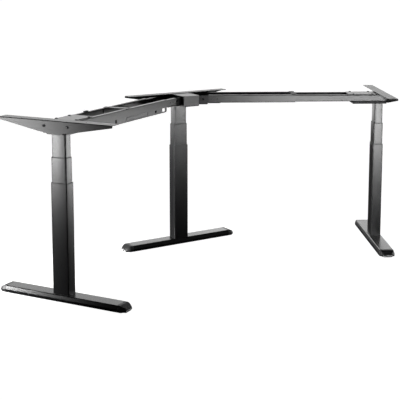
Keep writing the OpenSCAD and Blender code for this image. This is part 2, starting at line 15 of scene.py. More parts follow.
import bmesh
import bpy
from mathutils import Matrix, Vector


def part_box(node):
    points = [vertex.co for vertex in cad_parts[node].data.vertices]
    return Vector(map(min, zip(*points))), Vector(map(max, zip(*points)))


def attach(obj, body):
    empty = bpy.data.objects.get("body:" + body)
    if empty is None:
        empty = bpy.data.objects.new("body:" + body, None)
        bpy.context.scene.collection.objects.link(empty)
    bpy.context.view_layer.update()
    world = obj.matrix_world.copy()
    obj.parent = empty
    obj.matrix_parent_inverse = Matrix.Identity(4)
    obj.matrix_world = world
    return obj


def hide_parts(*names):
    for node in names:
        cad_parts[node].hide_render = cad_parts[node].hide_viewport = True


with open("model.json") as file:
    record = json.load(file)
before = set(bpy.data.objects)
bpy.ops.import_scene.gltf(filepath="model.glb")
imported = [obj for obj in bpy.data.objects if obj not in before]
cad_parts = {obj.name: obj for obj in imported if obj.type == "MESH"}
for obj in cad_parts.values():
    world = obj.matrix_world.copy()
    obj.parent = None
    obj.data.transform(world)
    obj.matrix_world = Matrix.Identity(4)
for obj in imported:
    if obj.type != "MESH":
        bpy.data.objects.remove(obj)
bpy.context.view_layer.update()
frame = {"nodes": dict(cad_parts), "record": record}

LOG = logging.getLogger("desk_frame")
MM = 0.001
# Angle in degrees above which an edge is drawn sharp
SHARP_ANGLE = 32
# Radius of a screw hole, in millimetres
SCREW_HOLE = 3.25
Point = tuple[float, float]
Socket = bpy.types.NodeSocket


# Colour and nodes ----------------------------------------------------------------------------------


def linear(hex_colour: str) -> tuple[float, float, float, float]:
    """Turns an sRGB hex colour into the linear colour that shaders take.

    Args:
        hex_colour: Six hex digits, with or without a leading hash.

    Returns:
        Red, green, blue and an alpha of 1.
    """
    digits = hex_colour.lstrip("#")
    shares = [int(digits[i : i + 2], 16) / 255 for i in (0, 2, 4)]
    curved = [s / 12.92 if s <= 0.04045 else ((s + 0.055) / 1.055) ** 2.4 for s in shares]
    return curved[0], curved[1], curved[2], 1.0


def add_node(
    tree: bpy.types.NodeTree,
    kind: str,
    settings: dict[str, object] | None = None,
    values: dict[str, object] | None = None,
    links: dict[str, Socket] | None = None,
) -> bpy.types.Node:
    """Adds one node to a node tree.

    Args:
        tree: The tree that gets the node.
        kind: The node's Blender type, such as ShaderNodeBump.
        settings: Properties of the node itself.
        values: Constants for its input sockets, by socket name.
        links: Output sockets to join to its input sockets, by socket name.

    Returns:
        The new node.
    """
    node = tree.nodes.new(kind)
    for name, value in (settings or {}).items():
        setattr(node, name, value)
    for name, value in (values or {}).items():
        node.inputs[name].default_value = value
    for name, source in (links or {}).items():
        tree.links.new(source, node.inputs[name])
    return node


def noise_scale(feature_mm: float) -> float:
    """Noise scale, in object coordinates of metres, whose features are about feature_mm across.

    Args:
        feature_mm: Size of a feature in millimetres.

    Returns:
        The scale.
    """
    return 1.0 / (feature_mm * MM)


# Finishes ------------------------------------------------------------------------------------------


@dataclass(frozen=True)
class Finish:
    """A surface finish: what the piece is made of and how its surface was made.

    Attributes:
        name: Name of the Blender material.
        colour: Main colour, sRGB hex.
        mottle: Second colour of the slow variation over the surface, sRGB hex.
        mottle_mm: Size of that variation.
        roughness: Middle roughness.
        roughness_swing: Roughness added and taken away by the fine grain.
        grain_mm: Size of the fine grain in the surface.
        grain_height_mm: Height of the fine grain.
        metallic: 1 for bare metal and 0 for a coat, plastic or rubber.
        ior: Index of refraction of a coat, plastic or rubber.
        stretch: Scale of the grain along x, y and z: under 1 draws it out into lines.
    """

    name: str
    colour: str
    mottle: str
    mottle_mm: float = 60.0
    roughness: float = 0.5
    roughness_swing: float = 0.06
    grain_mm: float = 1.6
    grain_height_mm: float = 0.02
    metallic: float = 0.0
    ior: float = 1.5
    stretch: tuple[float, float, float] = (1.0, 1.0, 1.0)

    def build(self) -> bpy.types.Material:
        """Makes the node material.

        Returns:
            The new material.
        """
        material = bpy.data.materials.new(self.name)
        material.use_nodes = True
        tree = material.node_tree
        shader = tree.nodes["Principled BSDF"]
        place = add_node(tree, "ShaderNodeTexCoord").outputs["Object"]
        drawn = add_node(
            tree, "ShaderNodeMapping", values={"Scale": self.stretch}, links={"Vector": place}
        ).outputs["Vector"]
        slow = add_node(
            tree,
            "ShaderNodeTexNoise",
            values={"Scale": noise_scale(self.mottle_mm), "Detail": 4.0, "Roughness": 0.55},
            links={"Vector": place},
        )
        grain = add_node(
            tree,
            "ShaderNodeTexNoise",
            values={"Scale": noise_scale(self.grain_mm), "Detail": 2.0, "Roughness": 0.5},
            links={"Vector": drawn},
        )
        colour = add_node(
            tree,
            "ShaderNodeMix",
            settings={"data_type": "RGBA"},
            links={"Factor": slow.outputs["Fac"]},
        )
        colour.inputs[6].default_value = linear(self.colour)
        colour.inputs[7].default_value = linear(self.mottle)
        rough = add_node(
            tree,
            "ShaderNodeMapRange",
            values={
                "From Min": 0.3,
                "From Max": 0.7,
                "To Min": self.roughness - self.roughness_swing,
                "To Max": self.roughness + self.roughness_swing,
            },
            links={"Value": grain.outputs["Fac"]},
        )
        bump = add_node(
            tree,
            "ShaderNodeBump",
            values={"Strength": 1.0, "Distance": self.grain_height_mm * MM},
            links={"Height": grain.outputs["Fac"]},
        )
        tree.links.new(colour.outputs[2], shader.inputs["Base Color"])
        tree.links.new(rough.outputs["Result"], shader.inputs["Roughness"])
        tree.links.new(bump.outputs["Normal"], shader.inputs["Normal"])
        shader.inputs["Metallic"].default_value = self.metallic
        if not self.metallic:
            shader.inputs["IOR"].default_value = self.ior
        return material


class Slot(Enum):
    """The record's material slots, each with the finish that dresses it."""

    # Polyester powder baked on drawn steel: satin black, and a faint orange peel breaks up highlights
    TUBE = ("tube_coat", Finish("powder_coat_on_drawn_tube", "#1a1a1b", "#202021", 90, 0.32, 0.05, 2.2, 0.03))
    # The same powder on the rolled foot, with weaker reflections, painted darker than on the tubes as painted
    # shade
    FOOT = (
        "foot_coat",
        Finish("powder_coat_darkened_for_foot_shade", "#111112", "#161617", 70, 0.30, 0.05, 2.2, 0.03, ior=1.3),
    )
    # Powder on pressed sheet: duller than on the tubes, so that its flat faces look even
    BRACKET = (
        "bracket_coat",
        Finish("powder_coat_on_pressed_sheet", "#1e1e1f", "#252526", 80, 0.44, 0.04, 1.8, 0.02, ior=1.45),
    )
    # Powder on roll formed channel: satin, with soft highlights along the bends
    RAIL = (
        "rail_coat",
        Finish("powder_coat_on_rolled_channel", "#1c1c1d", "#232324", 110, 0.40, 0.05, 2.0, 0.025, ior=1.56),
    )
    # Powder on flat cut plate, painted a little paler than the other coats as a painted highlight on its top
    # faces
    PLATE = (
        "plate_coat",
        Finish("powder_coat_on_flat_plate", "#232324", "#2a2a2b", 60, 0.42, 0.04, 1.6, 0.015),
    )
    # Dark matt copy of the coat on the end columns' trays: its darker colour is painted shade for the rails'
    # shadow
    TRAY_SHADE = (
        "tray_coat",
        Finish("dark_coat_painting_tray_shade", "#131314", "#18181a", 60, 0.8, 0.04, 1.6, 0.02),
    )
    # Glass filled nylon from a spark eroded mould: matt, with a fine even grain
    NYLON = ("black_nylon", Finish("moulded_black_nylon", "#1b1b1c", "#222223", 25, 0.55, 0.06, 0.9, 0.03))
    # Moulded rubber pad: dull, with a slight bloom
    RUBBER = (
        "glide_rubber",
        Finish("moulded_black_rubber", "#0e0e0f", "#141415", 18, 0.85, 0.08, 0.8, 0.04, ior=1.4),
    )
    # Rolled and oiled steel: bright metal with fine lines round the thread
    STEEL = (
        "screw_steel",
        Finish("rolled_oiled_steel", "#a9a8a6", "#8f8e8c", 40, 0.3, 0.08, 1.2, 0.01, 1.0,
               stretch=(0.15, 0.15, 1.0)),
    )
    # Black zinc plate on cold headed screws: dark metal with a satin bloom
    FASTENER = (
        "fastener_steel",
        Finish("black_zinc_plate", "#161617", "#232324", 6, 0.5, 0.08, 0.6, 0.01, 1.0),
    )
    # Pale grey on the ribs at the nose of each foot: a painted highlight where the ribs catch the light
    RIB_HIGHLIGHT = ("grey_rubber", Finish("pale_grey_painted_highlight", "#e6e6e6", "#d8d8d9", 8, 0.4, 0.06, 0.8, 0.03))
    # Moulded acetal in its natural colour: waxy off-white
    ACETAL = (
        "nut_acetal",
        Finish("moulded_natural_acetal", "#d9d4c6", "#cfc9ba", 20, 0.42, 0.05, 0.8, 0.01, ior=1.48),
    )
    # Stoved black paint on the motor's deep drawn can
    MOTOR = ("motor_paint", Finish("stoved_black_paint", "#1c1c1e", "#262628", 30, 0.45, 0.06, 1.4, 0.03))

    def __init__(self, record_name: str, finish: Finish) -> None:
        """Keeps the slot's name in the record and its finish.

        Args:
            record_name: The slot's name in the record.
            finish: The finish that dresses it.
        """
        self.record_name = record_name
        self.finish = finish


# Shapes --------------------------------------------------------------------------------------------


@dataclass(frozen=True)
class Place:
    """A frame that stands upright on the floor.

    Attributes:
        origin: Its origin on the floor, in metres.
        x: Unit vector of its x direction.
        y: Unit vector of its y direction.
    """

    origin: Vector
    x: Vector
    y: Vector

    def at(self, x: float, y: float, z: float) -> Vector:
        """Point of the model, in metres, for millimetres in this frame.

        Args:
            x: Place along x in millimetres.
            y: Place along y.
            z: Height above the floor.

        Returns:
            The point.
        """
        return self.origin + (self.x * x + self.y * y) * MM + Vector((0, 0, z * MM))


def fillet(points: Sequence[Point], radii: Sequence[float], steps: int = 5) -> list[Point]:
    """Rounds the corners of a closed outline.

    Args:
        points: The outline's corners, in order.
        radii: Radius at each corner; 0 leaves it sharp.
        steps: Segments in each arc.

    Returns:
        The points of the rounded outline.
    """
    rounded: list[Point] = []
    for i, (corner, radius) in enumerate(zip(points, radii)):
        here = Vector(corner)
        if radius <= 0:
            rounded.append((here.x, here.y))
            continue
        back = (Vector(points[i - 1]) - here).normalized()
        ahead = (Vector(points[(i + 1) % len(points)]) - here).normalized()
        half = math.acos(max(-1.0, min(1.0, back.dot(ahead)))) / 2
        centre = here + (back + ahead).normalized() * (radius / math.sin(half))
        start = here + back * (radius / math.tan(half)) - centre
        end = here + ahead * (radius / math.tan(half)) - centre
        sweep = math.atan2(start.x * end.y - start.y * end.x, start.dot(end))
        for k in range(steps + 1):
            turn = sweep * k / steps
            c, s = math.cos(turn), math.sin(turn)
            rounded.append((centre.x + start.x * c - start.y * s, centre.y + start.x * s + start.y * c))
    return rounded


def box_outline(width: float, depth: float, radius: float, steps: int = 6) -> list[Point]:
    """Outline of a rounded rectangle, centred on its own origin.

    Args:
        width: Size along x.
        depth: Size along y.
        radius: Corner radius.
        steps: Segments in each corner.

    Returns:
        The outline's points.
    """
    x, y = width / 2, depth / 2
    return fillet([(x, -y), (x, y), (-x, y), (-x, -y)], [radius] * 4, steps)


def box_outline_at(width: float, low: float, high: float) -> list[Point]:
    """Outline of an upright slice, in y and z, with its lower corners cut.

    Args:
        width: Size along y.
        low: Height of its underside.
        high: Height of its top.

    Returns:
        The outline's points.
    """
    half = width / 2
    cut = min(3.0, (high - low) / 2)
    left = [(-half, high), (-half, low + cut), (cut - half, low)]
    return left + [(-y, z) for y, z in reversed(left)]


def circle_outline(radius: float, count: int, lobe: float = 0.0, lobes: int = 0) -> list[Point]:
    """Outline of a circle, with a wave round it if lobes are asked for.

    Args:
        radius: Middle radius.
        count: Number of points.
        lobe: Height of the wave.
        lobes: Number of waves round the circle.

    Returns:
        The outline's points.
    """
    turns = [2 * math.pi * i / count for i in range(count)]
    radii = [radius + lobe * math.cos(lobes * t) for t in turns]
    return [(r * math.cos(t), r * math.sin(t)) for r, t in zip(radii, turns)]


class Blank:
    """A mesh in the making: rings are lofted into it, and cutters take holes out of it."""

    def __init__(self, place: Place) -> None:
        """Starts an empty mesh in a frame.

        Args:
            place: The frame that its points are given in.
        """
        self.place = place
        self.mesh = bmesh.new()
        self.cutters: list[bpy.types.Object] = []

    def loft(self, rings: Sequence[Sequence[tuple[float, float, float]]], loop: bool = False) -> None:
        """Skins a row of rings that have the same number of points.

        Args:
            rings: The rings, in millimetres of the frame.
            loop: True joins the last ring to the first; otherwise both ends are closed with a face.
        """
        rows = [[self.mesh.verts.new(self.place.at(*point)) for point in ring] for ring in rings]
        pairs = list(zip(rows, rows[1:])) + ([(rows[-1], rows[0])] if loop else [])
        for low, high in pairs:
            for i in range(len(low)):
                j = (i + 1) % len(low)
                self.mesh.faces.new((low[i], low[j], high[j], high[i]))
        if not loop:
            self.mesh.faces.new(rows[0])
            self.mesh.faces.new(rows[-1])

    def stack(self, outlines: Sequence[tuple[float, Sequence[Point]]], loop: bool = False) -> None:
        """Lofts level outlines that each lie at their own height.

        Args:
            outlines: Height and outline of each, in order.
            loop: True joins the last one to the first.
        """
        self.loft([[(x, y, z) for x, y in outline] for z, outline in outlines], loop)

    def along_x(self, outlines: Sequence[tuple[float, Sequence[Point]]]) -> None:
        """Lofts upright outlines, drawn in y and z, that each stand at their own x.

        Args:
            outlines: Place along x and outline of each, in order.
        """
        self.loft([[(x, y, z) for y, z in outline] for x, outline in outlines])

    def block(self, low: tuple[float, float, float], high: tuple[float, float, float]) -> None:
        """Adds a plain block between two corners.

        Args:
            low: Its lowest corner.
            high: Its highest corner.
        """
        self.stack([(z, [(low[0], low[1]), (high[0], low[1]), (high[0], high[1]), (low[0], high[1])])
                    for z in (low[2], high[2])])

    def cut(self, shape: "Blank") -> None:
        """Takes another blank's solid out of this one when the piece is made.

        Args:
            shape: The blank that is taken out.
        """
        self.cutters.append(shape.raw("cutter"))

    def raw(self, name: str) -> bpy.types.Object:
        """Turns the mesh so far into an object with its faces turned outwards.

        Args:
            name: The object's name.

        Returns:
            The new object, linked to the scene.
        """
        bmesh.ops.recalc_face_normals(self.mesh, faces=self.mesh.faces)
        data = bpy.data.meshes.new(name)
        self.mesh.to_mesh(data)
        self.mesh.free()
        thing = bpy.data.objects.new(name, data)
        bpy.context.scene.collection.objects.link(thing)
        return thing

    def made(self, name: str) -> bpy.types.Object:
        """Makes the object and takes the cutters out of it.

        Args:
            name: The object's name.

        Returns:
            The finished object; its cutters are gone.
        """
        thing = self.raw(name)
        for cutter in self.cutters:
            modifier = thing.modifiers.new("cut", "BOOLEAN")
            modifier.object, modifier.solver, modifier.operation = cutter, "EXACT", "DIFFERENCE"
        if self.cutters:
            evaluated = thing.evaluated_get(bpy.context.evaluated_depsgraph_get())
            cut_data = bpy.data.meshes.new_from_object(evaluated)
            thing.modifiers.clear()
            thing.data = cut_data
        for cutter in self.cutters:
            bpy.data.objects.remove(cutter)
        return thing


def drill(place: Place, centre: tuple[float, float, float], radius: float, depth: float, axis: str) -> Blank:
    """A round cutter.

    Args:
        place: Frame that the centre is given in.
        centre: Middle of the hole.
        radius: Radius of the hole.
        depth: Length of the cutter.
        axis: Direction of the hole: x, y or z.

    Returns:
        The cutter as a blank.
    """
    tool = Blank(place)
    x, y, z = centre
    rings = []
    for reach in (-depth / 2, depth / 2):
        ring = circle_outline(radius, 24)
        along = {
            "x": [(x + reach, y + a, z + b) for a, b in ring],
            "y": [(x + a, y + reach, z + b) for a, b in ring],
            "z": [(x + a, y + b, z + reach) for a, b in ring],
        }
        rings.append(along[axis])
    tool.loft(rings)
    return tool


def punch(place: Place, low: tuple[float, float, float], high: tuple[float, float, float]) -> Blank:
    """A square cutter between two corners.

    Args:
        place: Frame that the corners are given in.
        low: Its lowest corner.
        high: Its highest corner.

    Returns:
        The cutter as a blank.
    """
    tool = Blank(place)
    tool.block(low, high)
    return tool


# Workshop ------------------------------------------------------------------------------------------


class Workshop:
    """Dresses pieces and puts them on their bodies."""

    def __init__(self) -> None:
        """Builds every finish once."""
        self.materials = {slot.record_name: slot.finish.build() for slot in Slot}
        self.body_of = {
            node: body for body, nodes in frame["record"]["behaviour"]["bodies"].items() for node in nodes
        }

    def soften(self, thing: bpy.types.Object, edge_mm: float, merge: bool = False) -> None:
        """Rounds a piece's edges with modifiers.

        Args:
            thing: The piece.
            edge_mm: Width of the rounding.
            merge: True joins split points first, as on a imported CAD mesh.
        """
        if merge:
            thing.modifiers.new("join", "WELD").merge_threshold = 0.01 * MM
        bevel = thing.modifiers.new("edges", "BEVEL")
        bevel.width = edge_mm * MM
        bevel.segments = 2
        bevel.limit_method = "ANGLE"
        bevel.angle_limit = math.radians(40)
        bevel.use_clamp_overlap = True
        thing.modifiers.new("shading", "WEIGHTED_NORMAL").keep_sharp = True

    def dressed(self, name: str, blank: Blank, slot: Slot, edge_mm: float) -> bpy.types.Object:
        """Makes an object of a blank, with its material, its shading and its soft edges.

        Args:
            name: Name of the piece.
            blank: The piece's shape.
            slot: Its material slot.
            edge_mm: Width of the rounding on its sharp edges; 0 leaves them.

        Returns:
            The object.
        """
        thing = blank.made(name)
        thing.data.materials.clear()
        thing.data.materials.append(self.materials[slot.record_name])
        thing.data.shade_smooth()
        thing.data.set_sharp_from_angle(angle=math.radians(SHARP_ANGLE))
        if edge_mm:
            self.soften(thing, edge_mm)
        return thing

    def piece(
        self, name: str, blank: Blank, slot: Slot, stands_for: str, edge_mm: float = 0.4
    ) -> bpy.types.Object:
        """Finishes a blank as a visible piece in place of a CAD node.

        Args:
            name: Name of the piece.
            blank: The piece's shape.
            slot: Its material slot.
            stands_for: The CAD node that it is shown in place of.
            edge_mm: Width of the rounding on its sharp edges; 0 leaves them.

        Returns:
            The piece, riding on the node's body.
        """
        thing = self.dressed(name, blank, slot, edge_mm)
        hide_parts(stands_for)
        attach(thing, self.body_of[stands_for])
        return thing

    def extra(
        self, name: str, blank: Blank, slot: Slot, rides_with: str, edge_mm: float = 0.3
    ) -> bpy.types.Object:
        """Finishes a blank as a small detail that has no CAD node of its own.

        Args:
            name: Name of the piece.
            blank: The piece's shape.
            slot: Its material slot.
            rides_with: A CAD node on the body that it rides on.
            edge_mm: Width of the rounding on its sharp edges; 0 leaves them.

        Returns:
            The piece.
        """
        thing = self.dressed(name, blank, slot, edge_mm)
        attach(thing, self.body_of[rides_with])
        return thing

    def dress_cad(self, edge_mm: float = 0.4) -> None:
        """Gives every CAD node its finish, and soft edges to those that stay in sight.

        Args:
            edge_mm: Width of the rounding on their sharp edges.
        """
        slots = {part["node"]: part["material_slot"] for part in frame["record"]["subparts"]}
        for node, thing in frame["nodes"].items():
            # The end columns' trays take the dark tray coat, painted shade where the rails shadow them
            finish = Slot.TRAY_SHADE.record_name if node.endswith("head_tray") else slots[node]
            for holder in thing.material_slots:
                holder.material = self.materials[finish]
            if not thing.hide_render:
                self.soften(thing, edge_mm, merge=True)


# Columns -------------------------------------------------------------------------------------------


class Leg(Enum):
    """The three legs, each with the names of its foot's two ends."""

    CORNER = ("corner", "right", "left")
    LEFT = ("left", "front", "rear")
    RIGHT = ("right", "front", "rear")

    def __init__(self, word: str, plus_end: str, minus_end: str) -> None:
        """Keeps the leg's name and the names of its foot's +x and -x ends.

        Args:
            word: The leg's name.
            plus_end: Name of its foot's +x end.
            minus_end: Name of its -x end.
        """
        self.word = word
        self.ends = {1: plus_end, -1: minus_end}


def column_centre(leg: Leg) -> Vector:
    """Middle of a leg's outer tube, on the floor.

    Args:
        leg: The leg.

    Returns:
        The point, in metres.
    """
    low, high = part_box(f"{leg.word}_outer_tube")
    middle = (low + high) / 2
    return Vector((middle.x, middle.y, 0))


def arm_direction(leg: Leg) -> Vector:
    """Unit vector from the corner column to an end column.

    Args:
        leg: The end column's leg.

    Returns:
        The unit vector.
    """
    return (column_centre(leg) - column_centre(Leg.CORNER)).normalized()


def column_place(leg: Leg) -> Place:
    """Frame of a column.

    Args:
        leg: The leg.

    Returns:
        The frame, with x along the foot and y towards the desktop bracket.
    """
    if leg is Leg.CORNER:
        return Place(column_centre(leg), Vector((1, 0, 0)), Vector((0, 1, 0)))
    out = arm_direction(leg)
    turn = 1 if leg is Leg.RIGHT else -1
    return Place(column_centre(leg), Vector((out.y, -out.x, 0)) * turn, out)


def arm_place(leg: Leg) -> Place:
    """Frame of the arm to an end column, with x along the arm and -y towards the user.

    Args:
        leg: The end column's leg.

    Returns:
        The frame.
    """
    across = column_place(leg).x * -1
    return Place(column_centre(Leg.CORNER), arm_direction(leg), across)


def span_mm(node: str, axis: int) -> tuple[float, float]:
    """Lowest and highest place of a CAD node along a model axis, in millimetres.

    Args:
        node: The CAD node.
        axis: 0, 1 or 2 for x, y or z.

    Returns:
        The lowest and the highest place.
    """
    low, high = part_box(node)
    return low[axis] / MM, high[axis] / MM


@dataclass
class Foot:
    """Foot of one leg: rolled tube, end caps and levelling glides.

    Attributes:
        leg: The leg.
        width: Width over the bevelled sides.
        top_width: Width of the flat top.
        shoulder: Share of the height at which the sides turn in.
        cap: Length of an end cap.
        cap_straight: Share of the cap's length over which it keeps the foot's width.
        cap_slope: Share of the cap's length at which its top starts to slope down.
        cap_steps: Stations along a cap.
        nose_share: Width of the nose as a share of the foot's width.
        nose_drop: Fall of the cap's top at the nose.
        skirt_clear: Height of the cap's skirt above the floor.
        corner: Radius of the rolled tube's lower corners.
        bend: Radius where a side turns in.
    """

    leg: Leg
    width: float = 80.0
    top_width: float = 68.0
    shoulder: float = 0.45
    cap: float = 40.0
    cap_straight: float = 0.45
    cap_slope: float = 0.35
    cap_steps: int = 16
    nose_share: float = 0.66
    nose_drop: float = 12.0
    skirt_clear: float = 1.0
    corner: float = 3.0
    bend: float = 4.0

    def section(self, width: float, low: float, high: float, inset: float = 0.0) -> list[Point]:
        """Outline of the foot across its length.

        Args:
            width: Width over the sides.
            low: Height of the underside.
            high: Height of the top.
            inset: Distance that the outline is drawn in.

        Returns:
            Points in y and z.
        """
        half = width / 2 - inset
        low, high = low + inset, high - inset
        top = max(half - (self.width - self.top_width) / 2, half * 0.35)
        turn = low + (high - low) * self.shoulder
        corners = [(-half, low), (half, low), (half, turn), (top, high), (-top, high), (-half, turn)]
        size = min(1.0, (high - low) / 30)
        corner, bend, top_bend = self.corner * size, self.bend * size, 5 * size
        radii = [corner, corner, bend, top_bend, top_bend, bend]
        return fillet(corners, radii)

    def build(self, shop: Workshop) -> None:
        """Makes the foot's pieces.

        Args:
            shop: The workshop.
        """
        word, place = self.leg.word, column_place(self.leg)
        low, high = span_mm(f"{word}_foot", 2)
        half = self.length() / 2
        tube = Blank(place)
        tube.along_x([(x, self.section(self.width, low, high)) for x in (self.cap - half, half - self.cap)])
        shop.piece(f"{word}_foot_tube", tube, Slot.FOOT, f"{word}_foot", 0.3)
        for end, end_name in self.leg.ends.items():
            self.build_cap(shop, place, end, end_name, low, high, half)
            self.build_glide(shop, place, end, end_name)

    def length(self) -> float:
        """Length over the end caps, from the corner's foot, which runs along x.

        Returns:
            The length in millimetres.
        """
        low, high = span_mm("corner_foot_caps", 0)
        return high - low

    def build_cap(
        self, shop: Workshop, place: Place, end: int, end_name: str, low: float, high: float, half: float
    ) -> None:
        """Makes one moulded end cap: it tapers to a blunt nose, with grip ribs across it coloured pale grey
        as a painted highlight.

        Args:
            shop: The workshop.
            place: The column's frame.
            end: 1 or -1, the end along x.
            end_name: The end's name.
            low: Height of the foot's underside.
            high: Height of the foot's top.
            half: Half the foot's length.
        """
        word = self.leg.word
        start = half - self.cap
        cap = Blank(place)
        stations: list[tuple[float, list[Point]]] = []
        for k in range(self.cap_steps + 1):
            share = k / self.cap_steps
            turn = max(0.0, (share - self.cap_straight) / (1 - self.cap_straight))
            drop = max(0.0, (share - self.cap_slope) / (1 - self.cap_slope))
            inset = (0.3 if k == 0 else 0.0) + (1.2 if k == self.cap_steps else 0.0)
            width = self.width - 1.0 - (self.width * (1 - self.nose_share)) * turn**1.4
            x = end * (start + (self.cap - 2) * share)
            top = high - 0.4 - self.nose_drop * drop
            stations.append((x, self.section(width, low + 3 * turn, top, inset)))
        cap.along_x(stations)
        nose = self.width * self.nose_share
        skirt = [
            (start + 3, nose * 1.05, 0.0), (start + self.cap * 0.6, nose * 1.15, 0.0),
            (start + self.cap - 5, nose - 8, 0.4),
        ]
        clear = self.skirt_clear
        cap.along_x([
            (end * x, box_outline_at(width, clear + (low - clear) * (1 - rise), low + 4.0))
            for x, width, rise in skirt
        ])
        shop.piece(f"{word}_foot_cap_{end_name}", cap, Slot.NYLON, f"{word}_foot_caps", 0.5)
        # Pale grey ribs on the nose: their colour is a painted highlight
        pale_ribs = Blank(place)
        tip = start + self.cap
        count = 9
        for i in range(count):
            y = (i - (count - 1) / 2) * (nose - 10) / (count - 1)
            reach = tip - 0.2 - abs(y) * 0.06
            low_edge, high_edge = (tip - 4, y - 1.7, low + 2.5), (reach, y + 1.7, low + 9.0)
            ends = sorted((end * low_edge[0], end * high_edge[0]))
            pale_ribs.block((ends[0], low_edge[1], low_edge[2]), (ends[1], high_edge[1], high_edge[2]))
        shop.extra(f"{word}_foot_lit_ribs_{end_name}", pale_ribs, Slot.RIB_HIGHLIGHT, f"{word}_foot_caps", 0.4)

    def build_glide(self, shop: Workshop, place: Place, end: int, end_name: str) -> None:
        """Makes one levelling glide: a pad with a knurled edge on a threaded stem.

        Args:
            shop: The workshop.
            place: The column's frame.
            end: 1 or -1, the end along x.
            end_name: The end's name.
        """
        node = f"{self.leg.word}_glide_{end_name}"
        low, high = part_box(node)
        radius = (span_mm("corner_glide_left", 0)[1] - span_mm("corner_glide_left", 0)[0]) / 2
        centre = (low + high) / 2
        own = Place(Vector((centre.x, centre.y, 0)), place.x, place.y)
        top = 5.8
        stem, thread, pitch = 4.0, 0.35, 1.25
        pad = Blank(own)
        points, lobes, lobe = 96, 24, 0.25
        rim = radius - lobe
        outlines = [
            (0.0, circle_outline(radius - 2.4, points)),
            (0.5, circle_outline(radius - 1.8, points)),
            (1.8, circle_outline(rim, points, lobe, lobes)),
            (top - 1.2, circle_outline(rim, points, lobe, lobes)),
            (top, circle_outline(radius - 1.4, points)),
        ]
        height = top
        turns = int((high.z / MM - top) / (pitch / 2))
        for i in range(turns + 1):
            outlines.append((height, circle_outline(stem - (thread if i % 2 else 0), points)))
            height += pitch / 2
        pad.stack(outlines)
        shop.piece(f"{node}_pad", pad, Slot.RUBBER, node, 0)


@dataclass
class Column:
    """The three telescopic tubes of one leg with their guide bushes.

    Attributes:
        leg: The leg.
        width: Long side of the outer tube.
        depth: Short side of the outer tube.
        step: Amount by which each tube is smaller than the one around it.
        wall: Wall of the tubes.
        corner: Outer corner radius of the tubes.
        lip: Rounding of a tube's cut ends.
        rim: Height of a bush's rim above its tube.
        slide_gap: Gap between a bush and the tube that slides in it.
    """

    leg: Leg
    width: float = 84.0
    depth: float = 54.0
    step: float = 6.0
    wall: float = 1.5
    corner: float = 5.0
    lip: float = 0.4
    rim: float = 3.0
    slide_gap: float = 0.3

    def sizes(self, stage: int) -> tuple[float, float]:
        """Width and depth of a tube: stage 0 is the outer one.

        Args:
            stage: The stage.

        Returns:
            Width and depth in millimetres.
        """
        return self.width - self.step * stage, self.depth - self.step * stage

    def ring(self, stage: int, inset: float) -> list[Point]:
        """Outline of a tube, drawn in.

        Args:
            stage: 0 for the outer tube, 1 for the middle and 2 for the inner one.
            inset: Distance that it is drawn in.

        Returns:
            The outline's points.
        """
        w, d = self.sizes(stage)
        return box_outline(w - 2 * inset, d - 2 * inset, self.corner - inset)

    def tube(self, place: Place, stage: int, low: float, high: float) -> Blank:
        """A tube with softened ends.

        Args:
            place: The column's frame.
            stage: 0 for the outer tube, 1 for the middle and 2 for the inner one.
            low: Height of its lower end.
            high: Height of its upper end.

        Returns:
            The tube's shape.
        """
        lip = self.lip
        wall, edge, face = (self.ring(stage, inset) for inset in (self.wall, lip, 0))
        blank = Blank(place)
        blank.stack(
            [(low, wall), (low, edge), (low + lip, face), (high - lip, face), (high, edge), (high, wall)],
            loop=True,
        )
        return blank

    def bush(self, place: Place, stage: int, top: float, length: float) -> Blank:
        """A guide bush: sleeve in the tube and rim above it.

        Args:
            place: The column's frame.
            stage: Stage of the tube that holds it.
            top: Height of that tube's upper end.
            length: Length of the sleeve.

        Returns:
            The bush's shape.
        """
        w, d = self.sizes(stage)
        slide_w, slide_d = w - self.step + 2 * self.slide_gap, d - self.step + 2 * self.slide_gap
        sleeve, rim = self.ring(stage, self.wall), self.ring(stage, 0.5)
        bore = box_outline(slide_w, slide_d, self.corner)
        mouth = box_outline(slide_w + 1, slide_d + 1, self.corner + 0.5)
        blank = Blank(place)
        blank.stack(
            [
                (top - length, bore),
                (top - length, sleeve),
                (top, sleeve),
                (top, rim),
                (top + self.rim - 0.8, rim),
                (top + self.rim, self.ring(stage, 1.1)),
                (top + self.rim, mouth),
                (top + self.rim - 0.5, bore),
            ],
            loop=True,
        )
        return blank

    def build(self, shop: Workshop) -> None:
        """Makes the tubes, the plates inside them and the bushes.

        Args:
            shop: The workshop.
        """
        word, place = self.leg.word, column_place(self.leg)
        for stage, name in enumerate(("outer", "middle", "inner")):
            low, high = span_mm(f"{word}_{name}_tube", 2)
            tube = self.tube(place, stage, low, high)
            shop.piece(f"{word}_{name}_tube_drawn", tube, Slot.TUBE, f"{word}_{name}_tube", 0)
        self.build_plate(shop, place, "outer", 0, 4.0, 0.0)
        self.build_plate(shop, place, "middle", 1, 6.0, 12.05)
        for stage, name in enumerate(("lower", "upper")):
            node = f"{word}_{name}_bush"
            low, high = span_mm(node, 2)
            top = high - self.rim
            shop.piece(f"{node}_moulded", self.bush(place, stage, top, top - low), Slot.NYLON, node, 0)

    def build_plate(
        self, shop: Workshop, place: Place, name: str, stage: int, thick: float, bore: float
    ) -> None:
        """Makes the plate that is welded into a tube's lower end.

        Args:
            shop: The workshop.
            place: The column's frame.
            name: Name of the tube.
            stage: The tube's stage.
            thick: The plate's thickness.
            bore: Radius of its hole; 0 leaves it whole.
        """
        node = f"{self.leg.word}_{name}_tube"
        low = span_mm(node, 2)[0]
        outline = self.ring(stage, self.wall)
        plate = Blank(place)
        plate.stack([(low, outline), (low + thick, outline)])
        if bore:
            plate.cut(drill(place, (0, 0, low), bore, 4 * thick, "z"))
        shop.extra(f"{node}_plate", plate, Slot.STEEL, node, 0)


